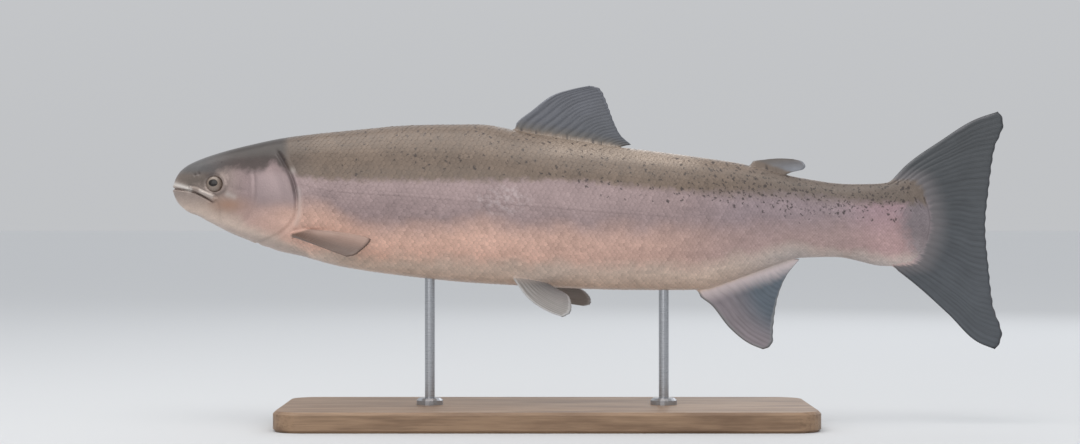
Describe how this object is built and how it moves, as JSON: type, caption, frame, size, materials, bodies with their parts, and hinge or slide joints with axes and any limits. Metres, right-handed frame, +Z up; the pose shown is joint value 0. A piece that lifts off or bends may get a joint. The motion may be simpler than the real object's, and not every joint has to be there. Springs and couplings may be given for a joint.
{
  "type": "rainbow trout on a display stand",
  "caption": "Life-size still rainbow trout, swimming level with folded pectoral fins, held by rods over a flat wooden base.",
  "frame": {"origin": "on the floor under the middle of the whole model's box", "axes": "+X towards the tail, -Y towards the fish's left flank, +Z up"},
  "size_m": [0.5005, 0.124, 0.2046],
  "materials": {
    "skin": "wet scaled skin, olive back over a lilac and pink flank and a cream belly",
    "fin": "thin rayed membrane, blue-grey",
    "eye": "polished, pale iris round a black pupil",
    "wood": "medium brown, oiled",
    "steel": "brushed"
  },
  "bodies": {
    "root": {"eye_left": "eye", "eye_right": "eye", "maxilla_left": "skin", "maxilla_right": "skin", "gill_cover_left": "skin", "gill_cover_right": "skin", "pectoral_fin_left": "fin", "pectoral_fin_right": "fin", "head": "skin", "lower_jaw": "skin", "throat": "skin", "trunk_front": "skin", "trunk_middle": "skin", "trunk_rear": "skin", "tail_stock": "skin", "dorsal_fin": "fin", "adipose_fin": "fin", "anal_fin": "fin", "tail_fin": "fin", "pelvic_fin_left": "fin", "pelvic_fin_right": "fin", "stand_base": "wood", "stand_rod_front": "steel", "stand_rod_rear": "steel", "stand_collar_front": "steel", "stand_collar_rear": "steel"}
  },
  "joints": []
}
